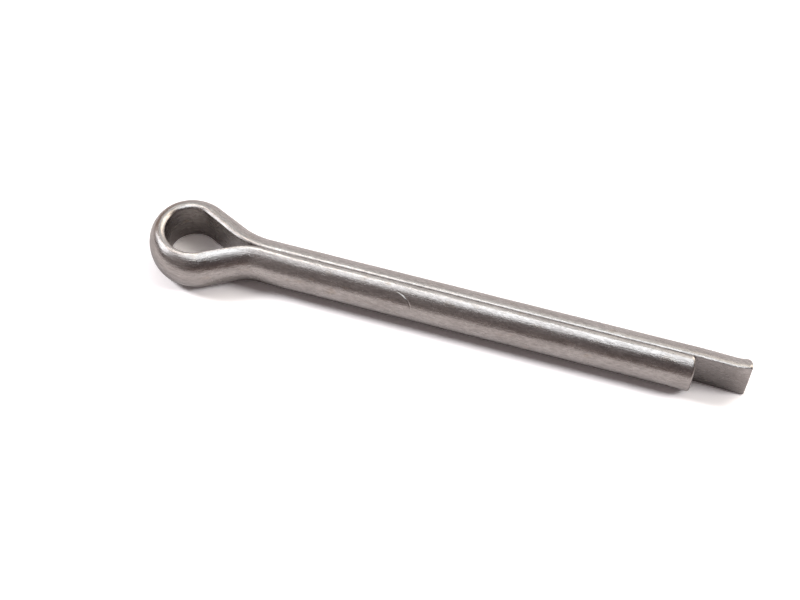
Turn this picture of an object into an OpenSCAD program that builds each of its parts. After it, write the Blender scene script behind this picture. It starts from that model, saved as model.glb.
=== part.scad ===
// Split cotter pin, bent from one length of half-round wire.
//
// The pin lies flat, as it comes to rest: +X runs from the eye to the tips and +Z is up.
// The origin is at the middle of the pin's length and width, on the surface that it lies on.
// While it is built, the pin is centred on z = 0 and x = 0 is the neck, where the legs begin.

/* [Wire] */
// Width of the wire's flat, which is also the shank's diameter
wire_w = 3.55; // [2.6:0.05:5]
// Thickness of the wire, from its flat to the crown of its round side
wire_t = 1.52; // [1.2:0.02:1.74]
// Radius of the wire's two long corners
corner_r = 0.1; // [0.04:0.01:0.2]

/* [Legs] */
// Length of the short leg, from the neck to its end
short_leg_l = 32; // [16:1:80]
// How far the long leg runs on past the short one
prong_l = 3.9; // [1.6:0.1:8]
// Gap between the flats of the two legs
leg_gap = 0.06; // [0.02:0.01:0.3]
// Radius of the bulge that the cutter left on the short leg's end
short_end_r = 2; // [1.6:0.1:4]
// Distance of that bulge's centre from the leg's flat
short_end_y = 1.1; // [0:0.1:1.4]
// Radius that rounds the outer side of the long leg's end
tip_end_r = 2.2; // [1.6:0.1:4]
// Distance of that radius's centre from the leg's flat
tip_end_y = 0.2; // [0:0.1:1.4]

/* [Eye] */
// Radius of the round part of the eye's hole
hole_r = 2.05; // [1.5:0.05:3]
// Angle between the shank and each straight limb of the eye
limb_a = 28; // [20:1:38]
// Radius of the bend in each flat at the neck
neck_r = 5.2; // [2.5:0.1:8]
// Thickness of the wire at the crown of the eye, where the bend has drawn it thinner
crown_t = 1.28; // [1:0.02:1.44]

/* [Hidden] */
$fn = 96;

// What is bent is drawn a hair slimmer all round than the straight wire at its two ends.
// The straight wire runs a little way on over it, so that all the pieces join as one solid.
slimmer = 0.02;
lap = 0.1;

// A narrow land joins each rounded corner to the round side, which meets it this far from the flat
land = 0.05;
land_end_x = corner_r + land;

// The wire's round side: its radius, and its centre's distance from the flat
round_r = (pow(wire_w / 2, 2) / (wire_t - land_end_x) + wire_t - land_end_x) / 2;
round_x = wire_t - round_r;

// Each limb's flat is a straight tangent to a round about the hole's centre and to the neck's bend
eye_r = hole_r - slimmer;
neck_y = leg_gap / 2 + neck_r;
limb_l = ((eye_r + neck_r) * cos(limb_a) - neck_y) / sin(limb_a);
eye_to_neck = (eye_r + neck_r) * sin(limb_a) + limb_l * cos(limb_a);

// The eye's outside is round about a centre moved towards the neck, which thins its crown
bend_corner_r = corner_r + land;
eye_t = wire_t - 2 * slimmer;
crown_shift = (eye_t - crown_t) / (1 + sin(limb_a));
outer_r = hole_r + eye_t - crown_shift * sin(limb_a);

// Length of the long leg, and how far the radius at its end runs past the end of its flat
long_leg_l = short_leg_l + prong_l;
tip_bulge = tip_end_r - sqrt(pow(tip_end_r, 2) - pow(tip_end_y, 2));

// The two ends of the pin along X
eye_end_x = -eye_to_neck - hole_r - crown_t;
tip_x = long_leg_l + tip_bulge;

// Larger than the pin's width, for what only cuts or bounds
reach = 4 * (hole_r + wire_t);

// What the wire's flat on the Y axis and its two rounded corners bound, made slimmer by slim.
module corner_band(slim = 0, band_corner_r = corner_r) {
    side_y = wire_w / 2 - slim - band_corner_r;
    translate([slim, 0]) {
        translate([band_corner_r, -side_y - band_corner_r])
            square([reach, 2 * (side_y + band_corner_r)]);
        translate([0, -side_y]) square([2 * band_corner_r, 2 * side_y]);
        for (side = [-1, 1])
            translate([band_corner_r, side * side_y]) circle(r = band_corner_r);
    }
}

// Section of the wire: its flat lies on the Y axis and its round side faces +X.
module wire_section(slim = 0) {
    intersection() {
        translate([round_x, 0]) circle(r = round_r - slim);
        corner_band(slim);
    }
}

// Straight wire along +X, with its flat on y = 0 and its round side facing +Y.
module straight_wire(length) {
    translate([-lap, 0, 0])
        rotate([90, 0, 90])
        linear_extrude(height = length + 2 * lap)
        wire_section();
}

// Wire bent round the Z axis through an angle, with its flat on the outside of the bend.
module bent_wire(radius, angle) {
    rotate_extrude(angle = angle) translate([radius, 0]) mirror([1, 0]) wire_section(slimmer);
}

// Everything up to an end that is rounded in plan, with the end of the flat at x = length.
module rounded_limit(length, end_r, end_y) {
    centre_x = length - sqrt(pow(end_r, 2) - pow(end_y, 2));
    linear_extrude(height = 2 * wire_w, center = true) {
        translate([-reach, -reach]) square([reach + centre_x, 2 * reach]);
        translate([centre_x, end_y]) circle(r = end_r);
    }
}

// One leg, with its flat on y = 0 and its end rounded in plan.
module leg(length, end_r, end_y) {
    intersection() {
        straight_wire(length + end_r);
        rounded_limit(length, end_r, end_y);
    }
}

// The bend at the neck and the straight limb that runs from it to the eye, on the +Y side.
module limb() {
    translate([0, neck_y, 0]) rotate([0, 0, -90 - limb_a]) bent_wire(neck_r, limb_a);
    translate([-eye_to_neck + eye_r * sin(limb_a), eye_r * cos(limb_a), 0])
        rotate([0, 0, -limb_a])
        straight_wire(limb_l);
}

// Section of the eye's outside, as a disc whose edge has the wire's round side.
module outer_section() {
    edge_r = round_r - slimmer;
    translate([0, -wire_w / 2]) square([outer_r - edge_r, wire_w]);
    intersection() {
        translate([outer_r - edge_r, 0]) circle(r = edge_r);
        translate([0, -wire_w / 2]) square([outer_r, wire_w]);
    }
}

// The part of the plan where the wire runs round the eye, between the two limbs.
module eye_sector() {
    linear_extrude(height = 2 * wire_w, center = true)
        polygon([
            [0, 0],
            [reach * sin(limb_a), reach * cos(limb_a)],
            [-reach, reach],
            [-reach, -reach],
            [reach * sin(limb_a), -reach * cos(limb_a)]
        ]);
}

// The round of the eye.
module eye() {
    translate([-eye_to_neck, 0, 0])
        intersection() {
            eye_sector();
            rotate_extrude() translate([eye_r, 0]) corner_band(slimmer, bend_corner_r);
            translate([crown_shift, 0, 0]) rotate_extrude() outer_section();
        }
}

// The whole pin, from the tip of one leg round the eye to the tip of the other.
module cotter_pin() {
    color([0.70, 0.67, 0.64])
        translate([-(eye_end_x + tip_x) / 2, 0, wire_w / 2])
        union() {
            eye();
            limb();
            mirror([0, 1, 0]) limb();
            translate([0, leg_gap / 2, 0]) leg(long_leg_l, tip_end_r, tip_end_y);
            mirror([0, 1, 0])
                translate([0, leg_gap / 2, 0])
                leg(short_leg_l, short_end_r, short_end_y);
        }
}

cotter_pin();
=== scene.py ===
"""Looks of a cotter pin: half-round drawn steel wire, bent into an eye and two legs.

The wire is swept by a Geometry Nodes tree along a route of plain bends and straights, so that
one closed mesh runs from the tip of the short leg round the eye to the tip of the long leg.
Sizes are in millimetres and degrees where they are written down, and in metres in every mesh.
"""

import logging
import math
from dataclasses import dataclass, field, replace
from enum import Enum

import bpy
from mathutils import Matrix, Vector


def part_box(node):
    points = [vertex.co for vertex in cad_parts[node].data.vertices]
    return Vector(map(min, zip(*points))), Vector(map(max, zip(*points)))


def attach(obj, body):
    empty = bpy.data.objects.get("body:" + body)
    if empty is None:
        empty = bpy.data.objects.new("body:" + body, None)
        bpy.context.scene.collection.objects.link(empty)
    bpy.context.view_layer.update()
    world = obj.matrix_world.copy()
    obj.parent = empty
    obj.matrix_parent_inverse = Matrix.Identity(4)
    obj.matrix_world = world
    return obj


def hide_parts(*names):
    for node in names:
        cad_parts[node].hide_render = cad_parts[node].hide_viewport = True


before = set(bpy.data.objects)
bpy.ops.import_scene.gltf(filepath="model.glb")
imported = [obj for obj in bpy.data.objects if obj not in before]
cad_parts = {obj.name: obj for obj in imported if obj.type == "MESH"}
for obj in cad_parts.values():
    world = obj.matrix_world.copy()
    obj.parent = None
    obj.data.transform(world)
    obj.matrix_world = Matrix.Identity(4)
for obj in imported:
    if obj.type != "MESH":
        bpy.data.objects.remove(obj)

MM = 0.001
LOG = logging.getLogger("cotter_pin")

# Three numbers: a place or direction, a colour, or a point of a section.
Triple = tuple[float, float, float]


# -------------------------------------------------------------------------------------------------
# Formulas as nodes
# -------------------------------------------------------------------------------------------------


class Number:
    """A number that a node tree works out at each point, so that a formula reads plainly."""

    def __init__(self, graph: "Graph", socket: bpy.types.NodeSocket) -> None:
        """Keeps the tree and the output socket that carries the number."""
        self.graph = graph
        self.socket = socket

    def __add__(self, other: "Number | float") -> "Number":
        """The sum of the two."""
        return self.graph.maths("ADD", self, other)

    def __sub__(self, other: "Number | float") -> "Number":
        """The difference of the two."""
        return self.graph.maths("SUBTRACT", self, other)

    def __rsub__(self, other: float) -> "Number":
        """The difference, with the plain number first."""
        return self.graph.maths("SUBTRACT", other, self)

    def __mul__(self, other: "Number | float") -> "Number":
        """The product of the two."""
        return self.graph.maths("MULTIPLY", self, other)

    def __truediv__(self, other: "Number | float") -> "Number":
        """The quotient of the two."""
        return self.graph.maths("DIVIDE", self, other)

    def root(self) -> "Number":
        """The square root, with anything below zero taken as zero."""
        return self.graph.maths("SQRT", self.at_least(0.0))

    def squared(self) -> "Number":
        """The number times itself."""
        return self.graph.maths("MULTIPLY", self, self)

    def at_least(self, floor: "Number | float") -> "Number":
        """The larger of the two."""
        return self.graph.maths("MAXIMUM", self, floor)

    def at_most(self, ceiling: "Number | float") -> "Number":
        """The smaller of the two."""
        return self.graph.maths("MINIMUM", self, ceiling)

    def size(self) -> "Number":
        """The number without its sign."""
        return self.graph.maths("ABSOLUTE", self)

    def between(self, low: float, high: float, start: float = 0.0, end: float = 1.0) -> "Number":
        """Eases from one value to another while the number runs over a range.

        Args:
            low: Where the number's range begins.
            high: Where it ends. It may lie below low.
            start: The value given at low, and on the far side of it.
            end: The value given at high, and on the far side of it.

        Returns:
            The eased value.
        """
        flipped = low > high
        node = self.graph.node("ShaderNodeMapRange", interpolation_type="SMOOTHSTEP")
        self.graph.feed(node.inputs["Value"], self)
        node.inputs["From Min"].default_value = high if flipped else low
        node.inputs["From Max"].default_value = low if flipped else high
        node.inputs["To Min"].default_value = end if flipped else start
        node.inputs["To Max"].default_value = start if flipped else end
        return Number(self.graph, node.outputs["Result"])


class Arrow:
    """A vector or a colour that a node tree works out at each point."""

    def __init__(self, graph: "Graph", socket: bpy.types.NodeSocket) -> None:
        """Keeps the tree and the output socket that carries the vector."""
        self.graph = graph
        self.socket = socket

    def __add__(self, other: "Arrow") -> "Arrow":
        """The sum of the two."""
        return self.graph.vector_maths("ADD", self, other)

    def times(self, factor: Number) -> "Arrow":
        """Makes the vector longer or shorter.

        Args:
            factor: The number that multiplies all its parts.

        Returns:
            The new vector.
        """
        node = self.graph.node("ShaderNodeVectorMath", operation="SCALE")
        self.graph.feed(node.inputs[0], self)
        self.graph.feed(node.inputs["Scale"], factor)
        return Arrow(self.graph, node.outputs[0])

    def stretched(self, factors: Triple) -> "Arrow":
        """The vector with each of its three parts multiplied by its own factor."""
        return self.graph.vector_maths("MULTIPLY", self, factors)

    def parts(self) -> tuple[Number, Number, Number]:
        """Takes the vector apart.

        Returns:
            Its three numbers.
        """
        node = self.graph.node("ShaderNodeSeparateXYZ")
        self.graph.feed(node.inputs[0], self)
        return tuple(Number(self.graph, out) for out in node.outputs)


class Graph:
    """A node tree that is being built, for geometry, for a material or for the world."""

    def __init__(self, tree: bpy.types.NodeTree) -> None:
        """Keeps the tree, and clears whatever it came with."""
        self.tree = tree
        self.tree.nodes.clear()

    def node(self, kind: str, **settings: object) -> bpy.types.Node:
        """Adds one node.

        Args:
            kind: The node's type, as Blender names it.
            **settings: Properties of the node and the values to give them.

        Returns:
            The new node.
        """
        made = self.tree.nodes.new(kind)
        for name, value in settings.items():
            setattr(made, name, value)
        return made

    def feed(self, target: bpy.types.NodeSocket, value: object) -> None:
        """Gives an input its value, as a link where nodes work it out.

        Args:
            target: The input.
            value: A Number, an Arrow, a socket, or a plain value or colour.
        """
        if isinstance(value, (Number, Arrow)):
            self.tree.links.new(value.socket, target)
        elif isinstance(value, bpy.types.NodeSocket):
            self.tree.links.new(value, target)
        elif target.type == "RGBA":
            target.default_value = (*value, 1.0)
        else:
            target.default_value = value

    def maths(self, operation: str, *values: "Number | float") -> Number:
        """Adds a Math node.

        Args:
            operation: The operation, as Blender names it.
            *values: What the operation is applied to.

        Returns:
            The result.
        """
        node = self.node("ShaderNodeMath", operation=operation)
        for target, value in zip(node.inputs, values):
            self.feed(target, value)
        return Number(self, node.outputs[0])

    def vector_maths(self, operation: str, *values: object) -> Arrow:
        """Adds a Vector Math node.

        Args:
            operation: The operation, as Blender names it.
            *values: The vectors that the operation is applied to.

        Returns:
            The result.
        """
        node = self.node("ShaderNodeVectorMath", operation=operation)
        for target, value in zip(node.inputs, values):
            self.feed(target, value)
        return Arrow(self, node.outputs[0])

    def arrow(self, x: object, y: object, z: object) -> Arrow:
        """Puts a vector together.

        Args:
            x: The first of its parts, as a Number or a plain number.
            y: The second.
            z: The third.

        Returns:
            The vector.
        """
        node = self.node("ShaderNodeCombineXYZ")
        for target, value in zip(node.inputs, (x, y, z)):
            self.feed(target, value)
        return Arrow(self, node.outputs[0])

    def noise(self, where: Arrow, scale: float, detail: float = 2.0, rough: float = 0.5) -> Number:
        """Soft random values around a half.

        Args:
            where: The place that the pattern is read at.
            scale: How many features there are to a unit of length.
            detail: How many finer layers lie on the first.
            rough: How strong the finer layers are.

        Returns:
            The value at that place.
        """
        node = self.node("ShaderNodeTexNoise")
        self.feed(node.inputs["Vector"], where)
        node.inputs["Scale"].default_value = scale
        node.inputs["Detail"].default_value = detail
        node.inputs["Roughness"].default_value = rough
        return Number(self, node.outputs[0])

    def blend(self, share: "Number | float", first: object, second: object) -> Arrow:
        """Mixes two colours.

        Args:
            share: How much of the second there is, from 0 to 1.
            first: A colour or an Arrow.
            second: A colour or an Arrow.

        Returns:
            The mixed colour.
        """
        node = self.node("ShaderNodeMix", data_type="RGBA")
        self.feed(node.inputs["Factor"], share)
        for name, value in (("A", first), ("B", second)):
            target = next(s for s in node.inputs if s.name == name and s.type == "RGBA")
            self.feed(target, value)
        return Arrow(self, next(s for s in node.outputs if s.type == "RGBA"))

    def stored(self, name: str, data_type: str) -> bpy.types.NodeSocket:
        """Reads what each point of a mesh carries under a name.

        Args:
            name: The name.
            data_type: The kind of value, as Blender names it.

        Returns:
            The output socket that gives the value.
        """
        layer = self.node("GeometryNodeInputNamedAttribute", data_type=data_type)
        layer.inputs["Name"].default_value = name
        return layer.outputs["Attribute"]

    def stored_number(self, name: str) -> Number:
        """The number that each point of a mesh carries under a name."""
        return Number(self, self.stored(name, "FLOAT"))

    def stored_arrow(self, name: str) -> Arrow:
        """The vector that each point of a mesh carries under a name."""
        return Arrow(self, self.stored(name, "FLOAT_VECTOR"))

    def show(self, output: str, shader: bpy.types.Node) -> None:
        """Joins a shader to the Surface input of a new output node of the kind named."""
        out = self.node(output)
        self.feed(out.inputs["Surface"], shader.outputs[0])


def new_material(name: str) -> tuple[bpy.types.Material, Graph]:
    """Makes a material.

    Args:
        name: The material's name.

    Returns:
        The material, and its emptied node tree.
    """
    made = bpy.data.materials.new(name)
    made.use_nodes = True
    return made, Graph(made.node_tree)


def new_object(name: str, data: bpy.types.ID) -> bpy.types.Object:
    """Makes an object and links it to the scene.

    Args:
        name: The object's name.
        data: Its mesh, lamp or camera.

    Returns:
        The object.
    """
    made = bpy.data.objects.new(name, data)
    bpy.context.scene.collection.objects.link(made)
    return made


# -------------------------------------------------------------------------------------------------
# The wire's section
# -------------------------------------------------------------------------------------------------


@dataclass(frozen=True)
class EdgeShape:
    """How an edge is rolled over, between the flat and the round side: broad above, then tight."""

    broad: float
    tight: float
    break_angle: float = 36.0


@dataclass(frozen=True)
class WireSection:
    """The half-round section: a runs out from the flat that faces the other leg, b runs upward."""

    width: float = 3.55
    thickness: float = 1.51
    leg_edge: EdgeShape = EdgeShape(broad=0.36, tight=0.015)
    crown_edge: EdgeShape = EdgeShape(broad=0.66, tight=0.05, break_angle=42.0)
    limb_edge_radius: float = 0.05
    limb_lean: float = 0.75
    low_edge: EdgeShape = EdgeShape(broad=0.12, tight=0.12)
    low_bulge: float = 0.09
    middle_share: float = 0.45
    flat_margin_share: float = 1 / 60
    flat_steps: int = 10
    edge_steps: int = 8
    round_steps: int = 20
    meeting_rounds: int = 6

    @property
    def middle(self) -> float:
        """How far from the flat the point lies that the section shrinks towards at an end."""
        return self.middle_share * self.thickness

    def rolled_edge(self, edge: EdgeShape) -> tuple[list[Triple], float, float]:
        """The edge from the flat to where it faces straight up.

        Args:
            edge: The edge's shape.

        Returns:
            The points as a, b and the direction that they face, and the a and b of the broad
            part's centre.
        """
        break_angle = math.radians(edge.break_angle)
        spare = edge.broad - edge.tight
        centre_a = edge.tight + spare * math.sin(break_angle)
        centre_b = self.width / 2 - edge.broad
        tight_b = centre_b + spare * math.cos(break_angle)
        points = []
        for step in range(self.edge_steps):
            turn = math.pi - (math.pi / 2 - break_angle) * step / self.edge_steps
            points.append((edge.tight * (1 + math.cos(turn)),
                           tight_b + edge.tight * math.sin(turn), turn))
        for step in range(self.edge_steps + 1):
            turn = math.pi / 2 + break_angle * (1 - step / self.edge_steps)
            points.append((centre_a + edge.broad * math.cos(turn),
                           centre_b + edge.broad * math.sin(turn), turn))
        return points, centre_a, centre_b

    def leg_half(self, edge: EdgeShape) -> list[Triple]:
        """Half of the straight legs' section, whose round side is an arc that meets the edge.

        Args:
            edge: The shape of the edge between the flat and the round side.

        Returns:
            For each point, from the flat to near the middle of the round side, a, b and the
            direction that the edge faces there.
        """
        half, edge_a, edge_b = self.rolled_edge(edge)
        short = edge_a - self.thickness
        radius = (edge_b**2 + short**2 - edge.broad**2) / (-2 * (short + edge.broad))
        centre_a = self.thickness - radius
        lean = math.atan2(edge_b, edge_a - centre_a)
        for step in range(1, self.round_steps):
            turn = math.pi / 2 * (1 - step / self.round_steps)
            if turn > lean:
                half.append((edge_a + edge.broad * math.cos(turn),
                             edge_b + edge.broad * math.sin(turn), turn))
            else:
                half.append((centre_a + radius * math.cos(turn), radius * math.sin(turn), turn))
        return half

    def crown_half(self, edge: EdgeShape) -> list[Triple]:
        """Half of the crown's section, whose round side is a quarter of an ellipse.

        Args:
            edge: The shape of the edge between the flat and the round side.

        Returns:
            For each point, from the flat to near the middle of the round side, a, b and the
            direction that the edge faces there.
        """
        half, edge_a, _ = self.rolled_edge(edge)
        reach_a, reach_b = self.thickness - edge_a, self.width / 2
        for step in range(1, self.round_steps):
            turn = math.pi / 2 * (1 - step / self.round_steps)
            faces = math.atan2(math.sin(turn) * reach_a, math.cos(turn) * reach_b)
            half.append((edge_a + reach_a * math.cos(turn), reach_b * math.sin(turn), faces))
        return half

    def limb_half(self) -> list[Triple]:
        """Half of a section whose round side, pressed flatter, slopes where it meets the flat.

        Returns:
            For each point, from the flat to near the middle of the round side, a, b and the
            direction that the edge faces there.
        """
        edge, lean = self.limb_edge_radius, self.limb_lean
        reach_a = self.thickness + lean
        reach_b = self.width / 2 / math.sqrt(1 - (lean / reach_a) ** 2)
        meets_a = edge
        for _ in range(self.meeting_rounds):
            start = math.acos((meets_a + lean) / reach_a)
            faces = math.atan2(math.sin(start) * reach_a, math.cos(start) * reach_b)
            meets_a = edge * (1 + math.cos(faces))
        centre_b = reach_b * math.sin(start) - edge * math.sin(faces)
        half = []
        for step in range(2 * self.edge_steps + 1):
            turn = math.pi - (math.pi - faces) * step / (2 * self.edge_steps)
            half.append((edge + edge * math.cos(turn), centre_b + edge * math.sin(turn), turn))
        for step in range(1, self.round_steps):
            turn = start * (1 - step / self.round_steps)
            faces = math.atan2(math.sin(turn) * reach_a, math.cos(turn) * reach_b)
            half.append((reach_a * math.cos(turn) - lean, reach_b * math.sin(turn), faces))
        return half

    def fuller(self, half: list[Triple]) -> list[Triple]:
        """The same half with its round side swelled between the edge and the middle.

        Args:
            half: Half of a section.

        Returns:
            The swelled half.
        """
        made = []
        for number, (a, b, faces) in enumerate(half):
            share = max(0, number - 2 * self.edge_steps) / self.round_steps
            swell = self.low_bulge * math.sin(math.pi * share) ** 2
            made.append((a + swell * math.cos(faces), b + swell * math.sin(faces), faces))
        return made

    def outline(self, upper: list[Triple], lower: list[Triple]) -> list[Triple]:
        """Closes two halves into one section.

        Args:
            upper: The upper half, from the flat to near the middle of the round side.
            lower: The lower half, drawn as if it were the upper one.

        Returns:
            For each point a, b and how far the section's middle lies inside the edge there.
        """
        low_b, high_b = -lower[0][1], upper[0][1]
        margin = self.width * self.flat_margin_share
        span = high_b - low_b - 2 * margin
        edge = [(0.0, low_b, math.pi)]
        edge += [(0.0, low_b + margin + span * step / self.flat_steps, math.pi)
                 for step in range(self.flat_steps + 1)]
        edge += upper + [(self.thickness, 0.0, 0.0)]
        edge += [(a, -b, -faces) for a, b, faces in lower[:0:-1]]
        return [(a, b, (a - self.middle) * math.cos(faces) + b * math.sin(faces))
                for a, b, faces in edge]

    def leg_points(self) -> list[Triple]:
        """The section of the straight legs."""
        lower = self.fuller(self.leg_half(self.low_edge))
        return self.outline(self.leg_half(self.leg_edge), lower)

    def crown_points(self) -> list[Triple]:
        """The section at the eye's crown, with broad upper edges."""
        lower = self.fuller(self.crown_half(self.low_edge))
        return self.outline(self.crown_half(self.crown_edge), lower)

    def limb_points(self) -> list[Triple]:
        """The section at the eye's limb on the short leg's side, with a crisp upper edge."""
        return self.outline(self.limb_half(), self.fuller(self.crown_half(self.low_edge)))


# -------------------------------------------------------------------------------------------------
# The wire's route
# -------------------------------------------------------------------------------------------------


def bell(distance: float, reach: float) -> float:
    """A share that falls off smoothly from 1, evenly to both sides, over a reach."""
    return math.exp(-((distance / reach) ** 2))


@dataclass(frozen=True)
class Spot:
    """A place on the flat's middle line, seen from above: where it is and where the wire heads."""

    x: float
    y: float
    heading: float

    def onward(self, length: float, turn: float) -> "Spot":
        """The place reached by going on with one even bend.

        Args:
            length: How far to go.
            turn: How far the heading turns meanwhile, counter-clockwise.

        Returns:
            The place reached.
        """
        if turn == 0:
            return Spot(self.x + length * math.cos(self.heading),
                        self.y + length * math.sin(self.heading), self.heading)
        radius = length / turn
        after = self.heading + turn
        return Spot(self.x + radius * (math.sin(after) - math.sin(self.heading)),
                    self.y - radius * (math.cos(after) - math.cos(self.heading)), after)


@dataclass(frozen=True)
class Stretch:
    """A stretch of the route with one even bend, or a straight one."""

    length: float
    turn: float = 0.0


class Side(Enum):
    """The pin's two halves, by the leg that each ends in, with the sign of Y on that side."""

    SHORT = -1
    LONG = 1


@dataclass(frozen=True)
class HalfPin:
    """One half of the pin, from the crown of the eye to the tip of its leg."""

    side: Side
    crown_radius: float
    crown_turn: float
    shoulder_radius: float
    limb_angle: float
    neck_radius: float
    limb_thickness: float
    leg_thickness: float
    crown_reach: float
    section_reach: float
    leg_end: float
    end_radius: float
    end_height: float
    end_fillet: float
    crispness: float = 0.0
    end_flare: float = 0.0
    tail: tuple[Stretch, ...] = ()

    def stretches(self, crown: Spot, leg_gap: float) -> tuple[list[Stretch], list[Stretch]]:
        """The bends and straights of this half in order, as if it lay on the +Y side.

        Args:
            crown: The crown's place, mirrored on to the +Y side.
            leg_gap: The gap between the two legs' flats.

        Returns:
            The eye's stretches, from the crown to the end of the neck's bend, and the leg's.
        """
        limb = math.radians(self.limb_angle)
        crown_turn = math.radians(self.crown_turn)
        shoulder_turn = math.pi / 2 + limb - crown_turn
        eye = [Stretch(self.crown_radius * crown_turn, -crown_turn),
               Stretch(self.shoulder_radius * shoulder_turn, -shoulder_turn)]
        spot = crown
        for stretch in eye:
            spot = spot.onward(stretch.length, stretch.turn)
        drop = spot.y - leg_gap / 2 - self.neck_radius * (1 - math.cos(limb))
        neck = [Stretch(drop / math.sin(limb)), Stretch(self.neck_radius * limb, limb)]
        for stretch in neck:
            spot = spot.onward(stretch.length, stretch.turn)
        straight = self.leg_end - spot.x - sum(stretch.length for stretch in self.tail)
        return eye + neck, [Stretch(straight), *self.tail]


@dataclass(frozen=True)
class Station:
    """One place along the wire where a section stands, with all that shapes the section there."""

    spot: Spot
    from_crown: float
    thickness: float
    inward: float
    crownward: float
    limbward: float
    half: HalfPin
    shrink: float = 1.0
    pull: float = 0.0


@dataclass(frozen=True)
class WireRoute:
    """The whole route of the wire, with the sections that stand along it."""

    section: WireSection
    halves: tuple[HalfPin, HalfPin]
    crown_x: float
    crown_y: float
    crown_thickness: float
    crown_inward: float
    leg_gap: float
    thickens_from: float = 0.7
    thickens_over: float = 0.5
    crisp_middle: float = 5.0
    crisp_reach: float = 3.6
    eye_spacing: float = 0.1
    leg_spacing: float = 0.15
    end_reach: float = 1.4
    cap_shrinks: tuple[float, ...] = (
        0.994, 0.98, 0.955, 0.925, 0.885, 0.84, 0.78, 0.68, 0.55, 0.42, 0.28, 0.15, 0.05)

    def thickness_at(self, half: HalfPin, distance: float, neck: float) -> float:
        """The wire's thickness: drawn thin at the crown of the eye, and even along the leg.

        Args:
            half: The half of the pin that the place is on.
            distance: How far the place is from the crown.
            neck: How far the end of the neck's bend is from the crown.

        Returns:
            The thickness.
        """
        legward = (distance - self.thickens_from * neck) / (self.thickens_over * neck)
        legward = min(max(legward, 0.0), 1.0)
        even = half.limb_thickness + (half.leg_thickness - half.limb_thickness) * legward
        thinning = half.limb_thickness - self.crown_thickness
        return even - thinning * bell(distance, half.crown_reach)

    def limbward(self, half: HalfPin, distance: float) -> float:
        """How much of the crisp-edged limb's section there is at a place.

        Args:
            half: The half of the pin that the place is on.
            distance: How far the place is from the crown.

        Returns:
            The share, from 0 to 1.
        """
        beside_crown = 1 - bell(distance, half.section_reach)
        return half.crispness * beside_crown * bell(distance - self.crisp_middle, self.crisp_reach)

    def half_stations(self, half: HalfPin) -> list[Station]:
        """The stations of one half, from the crown to the middle of the leg's end.

        Args:
            half: The half to walk along.

        Returns:
            The stations, on the half's own side.
        """
        sign = half.side.value
        spot = Spot(self.crown_x, self.crown_y * sign, math.pi / 2)
        eye, leg = half.stretches(spot, self.leg_gap)
        neck = sum(stretch.length for stretch in eye)
        total = neck + sum(stretch.length for stretch in leg)
        paced = [(stretch, self.eye_spacing) for stretch in eye]
        paced += [(stretch, self.leg_spacing) for stretch in leg]
        stations: list[Station] = []
        gone = 0.0
        for stretch, spacing in paced:
            steps = max(1, math.ceil(stretch.length / spacing))
            for step in range(1 if stations else 0, steps + 1):
                share = step / steps
                here = spot.onward(stretch.length * share, stretch.turn * share)
                distance = gone + stretch.length * share
                stations.append(Station(
                    spot=Spot(here.x, here.y * sign, here.heading * sign),
                    from_crown=distance * sign,
                    thickness=self.thickness_at(half, distance, neck),
                    inward=self.crown_inward * bell(distance, half.crown_reach),
                    crownward=bell(distance, half.section_reach),
                    limbward=self.limbward(half, distance),
                    half=half,
                    pull=max(0.0, 1 - (total - distance) / self.end_reach)))
            spot = spot.onward(stretch.length, stretch.turn)
            gone += stretch.length
        last = stations[-1]
        stations += [replace(last, shrink=shrink, pull=1.0) for shrink in self.cap_shrinks]
        return stations

    def stations(self) -> list[Station]:
        """The stations of the whole wire, from the short leg's tip to the long leg's."""
        short, long = (self.half_stations(half) for half in self.halves)
        return short[::-1] + long[1:]


# -------------------------------------------------------------------------------------------------
# Finishes
# -------------------------------------------------------------------------------------------------


@dataclass(frozen=True)
class Nick:
    """A short curved scratch on a leg's round side, in the straightened wire's own measures."""

    along: float = -20.4
    out: float = 0.98
    slant: float = math.radians(31)
    half_length: float = 0.8
    half_width: float = 0.07
    bow: float = -0.3
    upper_side: tuple[float, float] = (0.0, 0.3)

    def strength(self, where: Arrow) -> Number:
        """How deep the scratch is at a place, from 0 outside it to 1 along its middle.

        Args:
            where: The place, in the straightened wire's measures.

        Returns:
            The share of the scratch's full depth.
        """
        along, out, height = where.parts()
        ahead, aside = along - self.along, out - self.out
        lengthwise = aside * math.sin(self.slant) - ahead * math.cos(self.slant)
        across = ahead * math.sin(self.slant) + aside * math.cos(self.slant)
        off = (across + lengthwise.squared() * self.bow).size()
        deep = (1.0 - off / self.half_width).at_least(0.0)
        fade = (1.0 - lengthwise.squared() / self.half_length**2).at_least(0.0)
        return deep * fade * height.between(*self.upper_side)


@dataclass(frozen=True)
class Pattern:
    """Soft random values on the wire, drawn out along it by one over the squeeze."""

    squeeze: float
    scale: float
    detail: float
    rough: float

    def at(self, where: Arrow) -> Number:
        """The pattern's value at a place, in the straightened wire's measures."""
        drawn_out = where.stretched((self.squeeze, 1.0, 1.0))
        return where.graph.noise(drawn_out, self.scale, self.detail, self.rough)


@dataclass(frozen=True)
class Patches:
    """Where a pattern's values count as a patch, from its faint rim to its full middle."""

    pattern: Pattern
    rim: float
    full: float

    def at(self, where: Arrow) -> Number:
        """How much of a patch there is at a place, from 0 to 1."""
        return self.pattern.at(where).between(self.rim, self.full)


@dataclass(frozen=True)
class Relief:
    """A pattern that raises the surface, by so many millimetres from its lowest to its highest."""

    pattern: Pattern
    height: float

    def at(self, where: Arrow) -> Number:
        """How far the surface is raised at a place."""
        return self.pattern.at(where) * self.height


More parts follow.
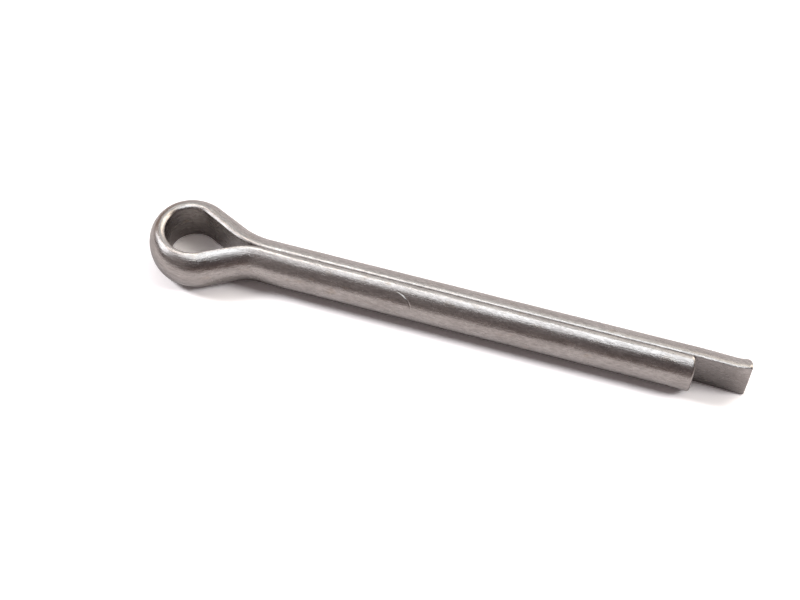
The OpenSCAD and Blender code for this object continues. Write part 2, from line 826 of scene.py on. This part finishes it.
@dataclass(frozen=True)
class DrawnSteel:
    """Plain drawn steel: satin, with fine lines along the wire, a nick and brighter rubs, and
    painted shade on the long leg's flat.
    """

    name: str = "drawn_steel"
    tone: Triple = (0.53, 0.485, 0.47)
    shaded_tone: Triple = (0.475, 0.43, 0.415)
    stained_tone: Triple = (0.47, 0.405, 0.365)
    rubbed_tone: Triple = (0.66, 0.63, 0.61)
    blotches: Patches = Patches(Pattern(0.35, 0.9, 3.0, 0.6), 0.35, 0.65)
    stains: Patches = Patches(Pattern(0.5, 1.7, 2.0, 0.6), 0.58, 0.72)
    stain_share: float = 0.7
    specks: Pattern = Pattern(0.3, 8.0, 3.0, 0.65)
    speck_range: tuple[float, float] = (0.25, 0.75)
    speck_gains: tuple[float, float] = (0.8, 1.2)
    rubs: Patches = Patches(Pattern(0.22, 4.5, 3.0, 0.7), 0.6, 0.68)
    rub_share: float = 0.55
    rub_depth: float = 0.002
    # Painted shade: the share by which the long leg's flat is darkened, from 12 mm out from the
    # crown and in full from 18 mm onward.
    painted_flat_shade: float = 0.2
    painted_shade_along: tuple[float, float] = (12.0, 18.0)
    painted_shade_above_flat: tuple[float, float] = (0.02, 0.1)
    nick: Nick = Nick()
    nick_share: float = 0.5
    nick_depth: float = 0.022
    drawn_lines: Relief = Relief(Pattern(0.06, 9.0, 3.0, 0.6), 0.006)
    grain: Relief = Relief(Pattern(0.45, 11.0, 3.0, 0.6), 0.007)
    ripple: Relief = Relief(Pattern(0.35, 4.0, 2.0, 0.5), 0.003)
    swell: Relief = Relief(Pattern(0.25, 1.6, 2.0, 0.5), 0.006)
    sheen: Pattern = Pattern(0.3, 2.5, 3.0, 0.5)
    sheen_range: tuple[float, float] = (0.3, 0.7)
    roughness: tuple[float, float] = (0.22, 0.29)

    def colour(self, where: Arrow, rubs: Number, nick: Number) -> Arrow:
        """The metal's colour, from its blotches up to its rubs and the nick, with painted shade on
        the long leg's flat.

        Args:
            where: The place, in the straightened wire's measures.
            rubs: How much the metal is rubbed there.
            nick: How deep the nick is there, as a share.

        Returns:
            The colour.
        """
        graph = where.graph
        colour = graph.blend(self.blotches.at(where), self.shaded_tone, self.tone)
        colour = graph.blend(self.stains.at(where) * self.stain_share, colour, self.stained_tone)
        specks = self.specks.at(where).between(*self.speck_range, *self.speck_gains)
        colour = graph.blend(rubs * self.rub_share, colour.times(specks), self.rubbed_tone)
        # Painted shade: darkens the long leg's flat near the tip, in place of the shadowed floor
        # that the flat reflects.
        along, above_flat, _ = where.parts()
        near_flat = above_flat.between(*self.painted_shade_above_flat, start=1.0, end=0.0)
        painted_shade_mask = along.between(*self.painted_shade_along) * near_flat
        colour = colour.times(1.0 - painted_shade_mask * self.painted_flat_shade)
        return graph.blend(nick * self.nick_share, colour, self.rubbed_tone)

    def material(self) -> bpy.types.Material:
        """Builds the finish.

        Returns:
            The material.
        """
        made, graph = new_material(self.name)
        place = graph.node("ShaderNodeAttribute", attribute_name="straight")
        where = Arrow(graph, place.outputs["Vector"])
        rubs, nick = self.rubs.at(where), self.nick.strength(where)

        height = (self.drawn_lines.at(where) + self.grain.at(where) + self.ripple.at(where)
                  + self.swell.at(where) - rubs * self.rub_depth - nick * self.nick_depth)
        bump = graph.node("ShaderNodeBump")
        bump.inputs["Strength"].default_value = 1.0
        bump.inputs["Distance"].default_value = MM
        graph.feed(bump.inputs["Height"], height)

        shader = graph.node("ShaderNodeBsdfPrincipled")
        shader.inputs["Metallic"].default_value = 1.0
        graph.feed(shader.inputs["Base Color"], self.colour(where, rubs, nick))
        graph.feed(shader.inputs["Roughness"],
                   self.sheen.at(where).between(*self.sheen_range, *self.roughness))
        graph.feed(shader.inputs["Normal"], bump.outputs["Normal"])
        graph.show("ShaderNodeOutputMaterial", shader)
        return made


@dataclass(frozen=True)
class PaleFloor:
    """A plain pale sheet that shows white under the lamps and keeps a soft shadow."""

    name: str = "pale_floor"
    tone: Triple = (0.352, 0.342, 0.350)
    seen_gain: float = 3.3
    mirrored_gain: float = 1.42

    def material(self) -> bpy.types.Material:
        """Builds the finish.

        Returns:
            The material.
        """
        made, graph = new_material(self.name)
        path = graph.node("ShaderNodeLightPath")
        seen = Number(graph, path.outputs["Is Camera Ray"])
        direct = 1.0 - Number(graph, path.outputs["Diffuse Depth"]).at_most(1.0)
        mirrored = Number(graph, path.outputs["Is Glossy Ray"]) * direct
        gain = seen * (self.seen_gain - 1.0) + mirrored * (self.mirrored_gain - 1.0) + 1.0
        shader = graph.node("ShaderNodeBsdfDiffuse")
        graph.feed(shader.inputs["Color"], graph.arrow(*self.tone).times(gain))
        graph.show("ShaderNodeOutputMaterial", shader)
        return made


# -------------------------------------------------------------------------------------------------
# The pin
# -------------------------------------------------------------------------------------------------


@dataclass
class CotterPin:
    """The pin: its route and section, and the node tree that sweeps one along the other."""

    node: str = "cotter_pin"
    body: str = "root"
    slot: str = "drawn_steel"
    finish: DrawnSteel = field(default_factory=DrawnSteel)
    route: WireRoute = field(default_factory=lambda: WireRoute(
        section=WireSection(),
        halves=(
            HalfPin(side=Side.SHORT, crown_radius=1.924, crown_turn=34.25, shoulder_radius=2.327,
                    limb_angle=28.7, neck_radius=4.5, limb_thickness=1.40, leg_thickness=1.59,
                    crown_reach=2.7, section_reach=2.6, leg_end=31.95, end_radius=2.6,
                    end_height=1.1, end_fillet=0.16, crispness=0.9),
            HalfPin(side=Side.LONG, crown_radius=1.843, crown_turn=53.87, shoulder_radius=2.015,
                    limb_angle=27.12, neck_radius=6.31, limb_thickness=1.55, leg_thickness=1.51,
                    crown_reach=5.4, section_reach=7.0, leg_end=36.0, end_radius=2.2,
                    end_height=0.2, end_fillet=0.12, end_flare=0.2,
                    tail=(Stretch(0.8, math.radians(-1.7)), Stretch(3.2))),
        ),
        crown_x=-7.57, crown_y=0.099, crown_thickness=1.275, crown_inward=0.11, leg_gap=0.002))
    swell_height: float = 0.012
    swell_squeeze: float = 0.3
    swell_scale: float = 0.8
    swell_seed: float = 3.0

    def start(self) -> Vector:
        """Finds the neck's place, from the middle of the wire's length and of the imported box.

        Returns:
            The place, in metres.
        """
        low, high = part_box(self.node)
        tip = max(half.leg_end for half in self.route.halves)
        crown = self.route.crown_x + self.route.crown_inward - self.route.crown_thickness
        middle_x = (low[0] + high[0]) / 2
        return Vector((middle_x - (crown + tip) / 2 * MM, 0.0, (low[2] + high[2]) / 2))

    def section_object(self) -> bpy.types.Object:
        """Makes the section's outline as a closed loop of edges.

        Returns:
            The loop, which carries the shapes of the section at the leg, the crown and the limb.
        """
        section = self.route.section
        shapes = {"leg_section": section.leg_points(), "crown_section": section.crown_points(),
                  "limb_section": section.limb_points()}
        count = len(shapes["leg_section"])
        mesh = bpy.data.meshes.new("section")
        mesh.from_pydata([(a * MM, b * MM, 0.0) for a, b, _ in shapes["leg_section"]],
                         [(i, (i + 1) % count) for i in range(count)], [])
        for name, points in shapes.items():
            place = mesh.attributes.new(name, "FLOAT_VECTOR", "POINT")
            place.data.foreach_set("vector", [value * MM for point in points for value in point])
        return new_object("section", mesh)

    def station_vectors(self, station: Station, neck: Vector) -> dict[str, Triple]:
        """The vectors that stand a section at a station.

        Args:
            station: The station.
            neck: Where the neck lies.

        Returns:
            The place of the flat's middle, and the directions away from the flat and to the tip.
        """
        spot, sign = station.spot, station.half.side.value
        return {
            "spine": (neck.x + spot.x * MM, neck.y + spot.y * MM, neck.z),
            "outward": (-math.sin(spot.heading) * sign, math.cos(spot.heading) * sign, 0.0),
            "tipward": (math.cos(spot.heading), math.sin(spot.heading), 0.0),
        }

    def station_numbers(self, station: Station) -> dict[str, float]:
        """The numbers that shape the section at a station.

        Args:
            station: The station.

        Returns:
            The numbers, with lengths in metres.
        """
        half = station.half
        return {
            "along": station.from_crown * MM,
            "thickness": station.thickness / self.route.section.thickness,
            "inward": station.inward * MM,
            "crownward": station.crownward,
            "limbward": station.limbward,
            "shrink": station.shrink,
            "pull": station.pull,
            "end_radius": half.end_radius * MM,
            "end_height": half.end_height * MM,
            "end_fillet": half.end_fillet * MM,
            "flare": half.end_flare * station.pull**2,
        }

    def route_object(self) -> bpy.types.Object:
        """Makes the route as a chain of edges with one point for each station.

        Returns:
            The chain, whose points carry what shapes the sections.
        """
        stations = self.route.stations()
        neck = self.start()
        mesh = bpy.data.meshes.new("route")
        mesh.from_pydata([(number * MM, 0.0, 0.0) for number in range(len(stations))],
                         [(number, number + 1) for number in range(len(stations) - 1)], [])
        vectors = [self.station_vectors(station, neck) for station in stations]
        for name in vectors[0]:
            layer = mesh.attributes.new(name, "FLOAT_VECTOR", "POINT")
            layer.data.foreach_set("vector", [value for row in vectors for value in row[name]])
        numbers = [self.station_numbers(station) for station in stations]
        for name in numbers[0]:
            layer = mesh.attributes.new(name, "FLOAT", "POINT")
            layer.data.foreach_set("value", [row[name] for row in numbers])
        return new_object("route", mesh)

    @staticmethod
    def swept(graph: Graph, given: bpy.types.NodeOutputs) -> bpy.types.NodeSocket:
        """Adds the nodes that join the section's loop from station to station.

        Args:
            graph: The tree that is being built.
            given: The tree's inputs.

        Returns:
            The closed mesh, whose points aren't in their places yet.
        """
        chain = graph.node("GeometryNodeMeshToCurve")
        graph.feed(chain.inputs["Mesh"], given["Geometry"])
        loop_source = graph.node("GeometryNodeObjectInfo")
        graph.feed(loop_source.inputs["Object"], given["Section"])
        loop = graph.node("GeometryNodeMeshToCurve")
        graph.feed(loop.inputs["Mesh"], loop_source.outputs["Geometry"])
        sweep = graph.node("GeometryNodeCurveToMesh")
        graph.feed(sweep.inputs["Curve"], chain.outputs["Curve"])
        graph.feed(sweep.inputs["Profile Curve"], loop.outputs["Curve"])
        sweep.inputs["Fill Caps"].default_value = True
        return sweep.outputs["Mesh"]

    def placed(self, graph: Graph, given: bpy.types.NodeOutputs) -> tuple[Arrow, Arrow]:
        """Adds the formulas that put each point in its place.

        Args:
            graph: The tree that is being built.
            given: The tree's inputs.

        Returns:
            The point's place, and its place on the straightened wire in millimetres.
        """
        crownward, limbward = graph.stored_number("crownward"), graph.stored_number("limbward")
        outline = (graph.stored_arrow("leg_section").times(1.0 - crownward - limbward)
                   + graph.stored_arrow("crown_section").times(crownward)
                   + graph.stored_arrow("limb_section").times(limbward))
        section_a, section_b, section_inside = outline.parts()
        shrink, thickness = graph.stored_number("shrink"), graph.stored_number("thickness")
        middle = Number(graph, given["Middle"]) * thickness
        a = (section_a * thickness - middle) * shrink + middle - graph.stored_number("inward")
        b = section_b * shrink
        flare = graph.stored_number("flare") * b.at_least(0.0)
        a = a + flare * (2 / self.route.section.width)

        radius, height = graph.stored_number("end_radius"), graph.stored_number("end_height")
        rise = ((radius.squared() - (a - height).squared()).root()
                - (radius.squared() - height.squared()).root())
        fillet = graph.stored_number("end_fillet")
        inset = (section_inside * (1.0 - shrink)).at_most(fillet)
        retreat = fillet - (fillet.squared() - (fillet - inset).squared()).root()
        axial = graph.stored_number("pull") * (rise - retreat)
        place = (graph.stored_arrow("spine") + graph.stored_arrow("outward").times(a)
                 + graph.stored_arrow("tipward").times(axial) + graph.arrow(0.0, 0.0, b))
        return place, graph.arrow(graph.stored_number("along") / MM, a / MM, b / MM)

    def sweep_tree(self) -> tuple[bpy.types.NodeTree, dict[str, str]]:
        """Builds the tree that stands the section at each station and closes the two ends.

        Returns:
            The tree, and the identifier of each of its named inputs.
        """
        tree = bpy.data.node_groups.new("half_round_sweep", "GeometryNodeTree")
        kinds = {"Geometry": "NodeSocketGeometry", "Section": "NodeSocketObject",
                 "Finish": "NodeSocketMaterial", "Middle": "NodeSocketFloat",
                 "Swell height": "NodeSocketFloat", "Seed": "NodeSocketFloat"}
        names = {
            name: tree.interface.new_socket(name, in_out="INPUT", socket_type=kind).identifier
            for name, kind in kinds.items()}
        tree.interface.new_socket("Geometry", in_out="OUTPUT", socket_type="NodeSocketGeometry")
        graph = Graph(tree)
        given = graph.node("NodeGroupInput").outputs

        place, straight = self.placed(graph, given)
        stand = graph.node("GeometryNodeSetPosition")
        graph.feed(stand.inputs["Geometry"], self.swept(graph, given))
        graph.feed(stand.inputs["Position"], place)
        keep = graph.node("GeometryNodeStoreNamedAttribute", data_type="FLOAT_VECTOR",
                          domain="POINT")
        keep.inputs["Name"].default_value = "straight"
        graph.feed(keep.inputs["Geometry"], stand.outputs["Geometry"])
        graph.feed(keep.inputs["Value"], straight)

        drift = graph.arrow(Number(graph, given["Seed"]), 0.0, 0.0)
        drawn_out = straight.stretched((self.swell_squeeze, 1.0, 1.0))
        swell = graph.noise(drawn_out + drift, self.swell_scale, detail=1.0)
        lift = (swell - 0.5) * Number(graph, given["Swell height"])
        normal = graph.node("GeometryNodeInputNormal")
        relief = graph.node("GeometryNodeSetPosition")
        graph.feed(relief.inputs["Geometry"], keep.outputs["Geometry"])
        graph.feed(relief.inputs["Offset"], Arrow(graph, normal.outputs[0]).times(lift))

        smooth = graph.node("GeometryNodeSetShadeSmooth")
        graph.feed(smooth.inputs["Geometry"], relief.outputs["Geometry"])
        realise = graph.node("GeometryNodeRealizeInstances")
        graph.feed(realise.inputs["Geometry"], smooth.outputs["Geometry"])
        dress = graph.node("GeometryNodeSetMaterial")
        graph.feed(dress.inputs["Geometry"], realise.outputs["Geometry"])
        graph.feed(dress.inputs["Material"], given["Finish"])
        out = graph.node("NodeGroupOutput")
        graph.feed(out.inputs[0], dress.outputs["Geometry"])
        return tree, names

    def build(self) -> bpy.types.Object:
        """Sweeps the wire and turns the result into one plain mesh.

        Returns:
            The finished piece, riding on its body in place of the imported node.
        """
        section = self.section_object()
        route = self.route_object()
        tree, names = self.sweep_tree()
        modifier = route.modifiers.new("sweep", "NODES")
        modifier.node_group = tree
        modifier[names["Section"]] = section
        modifier[names["Finish"]] = self.finish.material()
        modifier[names["Middle"]] = self.route.section.middle * MM
        modifier[names["Swell height"]] = self.swell_height * MM
        modifier[names["Seed"]] = self.swell_seed
        depsgraph = bpy.context.evaluated_depsgraph_get()
        mesh = bpy.data.meshes.new_from_object(route.evaluated_get(depsgraph))
        mesh.name = "bent_wire"
        for layer in [a.name for a in mesh.attributes if a.domain == "POINT"]:
            if layer not in ("position", "straight"):
                mesh.attributes.remove(mesh.attributes[layer])
        route.modifiers.clear()
        bpy.data.objects.remove(route)
        bpy.data.objects.remove(section)
        self.face_outward(mesh)
        piece = new_object("bent_wire", mesh)
        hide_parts(self.node)
        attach(piece, self.body)
        return piece

    @staticmethod
    def face_outward(mesh: bpy.types.Mesh) -> None:
        """Turns all the faces over if the mesh encloses a negative volume.

        Args:
            mesh: A closed mesh.
        """
        mesh.calc_loop_triangles()
        corners = [vertex.co for vertex in mesh.vertices]
        volume = 0.0
        for triangle in mesh.loop_triangles:
            first, second, third = (corners[index] for index in triangle.vertices)
            volume += first.dot(second.cross(third))
        if volume < 0:
            mesh.flip_normals()


# -------------------------------------------------------------------------------------------------
# The studio
# -------------------------------------------------------------------------------------------------


@dataclass(frozen=True)
class SoftLamp:
    """A rectangular soft lamp, placed by where it shines from, with its sizes in metres."""

    name: str
    towards: Triple
    width: float
    depth: float
    radiance: float
    tint: Triple = (1.0, 1.0, 1.0)
    distance: float = 0.6

    def hang(self, lit: bpy.types.Collection) -> None:
        """Hangs the lamp.

        Args:
            lit: The pieces that the lamp shines on.
        """
        lamp = bpy.data.lights.new(self.name, "AREA")
        lamp.shape = "RECTANGLE"
        lamp.size = self.width
        lamp.size_y = self.depth
        lamp.color = self.tint
        lamp.energy = self.radiance * math.pi * self.width * self.depth
        made = new_object(self.name, lamp)
        towards = Vector(self.towards).normalized()
        made.location = towards * self.distance
        made.rotation_euler = towards.to_track_quat("Z", "Y").to_euler()
        made.light_linking.receiver_collection = lit


@dataclass(frozen=True)
class Surroundings:
    """The world round the pin: a pale rear with a glow at its right, and a dim front."""

    right_rear: Triple = (2.8, 2.65, 2.3)
    high_rear: Triple = (0.94, 1.0, 1.0)
    low_rear: Triple = (0.76, 0.75, 0.74)
    left_rear: Triple = (0.42, 0.335, 0.285)
    left_front: Triple = (0.245, 0.22, 0.215)
    right_front: Triple = (0.095, 0.077, 0.078)
    low_front: Triple = (0.21, 0.165, 0.15)
    seen: Triple = (1.0, 1.0, 1.0)
    front_to_rear: tuple[float, float] = (-0.1, 0.22)
    rear_low_to_high: tuple[float, float] = (0.5, 0.85)
    rear_left_to_middle: tuple[float, float] = (-0.62, -0.3)
    glow_rightward: tuple[float, float] = (0.08, 0.24)
    glow_upward: tuple[float, float] = (0.34, 0.5)
    front_low_to_high: tuple[float, float] = (0.0, 0.55)
    front_left_to_right: tuple[float, float] = (-0.25, 0.1)

    def light(self) -> None:
        """Lights the scene, and shows white where the camera sees past the floor."""
        world = bpy.data.worlds.new("studio_world")
        bpy.context.scene.world = world
        world.use_nodes = True
        graph = Graph(world.node_tree)
        place = graph.node("ShaderNodeTexCoord")
        rightward, rearward, upward = Arrow(graph, place.outputs["Generated"]).parts()
        rear = graph.blend(upward.between(*self.rear_low_to_high), self.low_rear, self.high_rear)
        glow = rightward.between(*self.glow_rightward) * upward.between(*self.glow_upward)
        rear = graph.blend(glow, rear, self.right_rear)
        rear = graph.blend(rightward.between(*self.rear_left_to_middle), self.left_rear, rear)
        right_front = graph.blend(upward.between(*self.front_low_to_high),
                                  self.low_front, self.right_front)
        front = graph.blend(rightward.between(*self.front_left_to_right),
                            self.left_front, right_front)
        room = graph.blend(rearward.between(*self.front_to_rear), front, rear)
        path = graph.node("ShaderNodeLightPath")
        seen = Number(graph, path.outputs["Is Camera Ray"])
        shader = graph.node("ShaderNodeBackground")
        graph.feed(shader.inputs["Color"], graph.blend(seen, room, self.seen))
        graph.show("ShaderNodeOutputWorld", shader)


@dataclass(frozen=True)
class Studio:
    """A pale floor, so many metres wide, with soft lamps overhead and what surrounds them."""

    floor: PaleFloor = PaleFloor()
    floor_size: float = 3.0
    lamps: tuple[SoftLamp, ...] = (
        SoftLamp("top_lamp", (-0.06, -0.275, 0.96), 0.34, 0.32, 1.55, (0.88, 0.96, 1.0)),
        SoftLamp("right_top_lamp", (0.15, -0.25, 0.96), 0.24, 0.32, 1.15, (0.84, 0.95, 1.0)),
        SoftLamp("warm_lamp", (-0.36, -0.02, 0.93), 0.14, 0.30, 1.9, (1.0, 0.955, 0.89)),
        SoftLamp("eye_lamp", (-0.26, 0.11, 0.96), 0.12, 0.15, 1.7, (1.0, 0.97, 0.91)),
        SoftLamp("side_lamp", (-0.76, -0.15, 0.60), 0.42, 0.34, 2.3, (0.88, 0.95, 1.0)),
    )
    floor_lamps: tuple[SoftLamp, ...] = (
        SoftLamp("left_lamp", (-0.76, 0.04, 0.64), 0.14, 0.22, 32.0),
        SoftLamp("right_lamp", (0.74, 0.10, 0.65), 0.14, 0.22, 17.0),
    )
    surroundings: Surroundings = Surroundings()

    def lay_floor(self) -> bpy.types.Object:
        """Lays the floor at the pin's underside.

        Returns:
            The floor.
        """
        half = self.floor_size / 2
        mesh = bpy.data.meshes.new("floor")
        mesh.from_pydata([(-half, -half, 0), (half, -half, 0), (half, half, 0), (-half, half, 0)],
                         [], [(0, 1, 2, 3)])
        mesh.materials.append(self.floor.material())
        made = new_object("floor", mesh)
        return made

    def hang_lamps(self, piece: bpy.types.Object, floor: bpy.types.Object) -> None:
        """Hangs the lamps that shine on the piece alone, and those that shine on the floor alone.

        Args:
            piece: The piece to light.
            floor: The floor, which keeps the piece's shadow.
        """
        for target, lamps in ((piece, self.lamps), (floor, self.floor_lamps)):
            lit = bpy.data.collections.new(f"lit_{target.name}")
            lit.objects.link(target)
            for lamp in lamps:
                lamp.hang(lit)

    def light_up(self, piece: bpy.types.Object, floor: bpy.types.Object) -> None:
        """Hangs the lamps, lights the surroundings and shows colours as they are written.

        Args:
            piece: The piece to light.
            floor: The floor, which keeps the piece's shadow.
        """
        self.hang_lamps(piece, floor)
        self.surroundings.light()
        bpy.context.scene.view_settings.view_transform = "Standard"


@dataclass(frozen=True)
class ViewPoint:
    """The camera: where it stands round the pin, how far off, its lens and what it sees."""

    azimuth: float = 16.52
    elevation: float = 58.4658
    distance: float = 109.63
    lens: float = 68.0
    sensor_width: float = 36.0
    aim: Triple = (-2.972, -0.459, 1.775)
    nearest_seen: float = 5.0
    farthest_seen: float = 20000.0

    def place(self) -> None:
        """Stands the camera and makes it the scene's own."""
        turn, rise = math.radians(self.azimuth), math.radians(self.elevation)
        back = Vector((math.sin(turn) * math.cos(rise), -math.cos(turn) * math.cos(rise),
                       math.sin(rise)))
        data = bpy.data.cameras.new("camera")
        data.lens = self.lens
        data.sensor_width = self.sensor_width
        data.clip_start = self.nearest_seen * MM
        data.clip_end = self.farthest_seen * MM
        made = new_object("camera", data)
        made.location = (Vector(self.aim) + back * self.distance) * MM
        made.rotation_euler = back.to_track_quat("Z", "Y").to_euler()
        bpy.context.scene.camera = made


# -------------------------------------------------------------------------------------------------
# The scene
# -------------------------------------------------------------------------------------------------


def report(piece: bpy.types.Object) -> None:
    """Logs what a finished piece is made of.

    Args:
        piece: The piece.
    """
    mesh = piece.data
    mesh.calc_loop_triangles()
    LOG.info("%s: %d points, %d triangles", piece.name, len(mesh.vertices),
             len(mesh.loop_triangles))


def main() -> None:
    """Builds the camera, the pin and the studio."""
    logging.basicConfig(level=logging.INFO, format="%(name)s: %(message)s")
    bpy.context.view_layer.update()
    ViewPoint().place()
    pin = CotterPin().build()
    report(pin)
    studio = Studio()
    floor = studio.lay_floor()
    report(floor)
    studio.light_up(pin, floor)


if __name__ == "__main__":
    main()
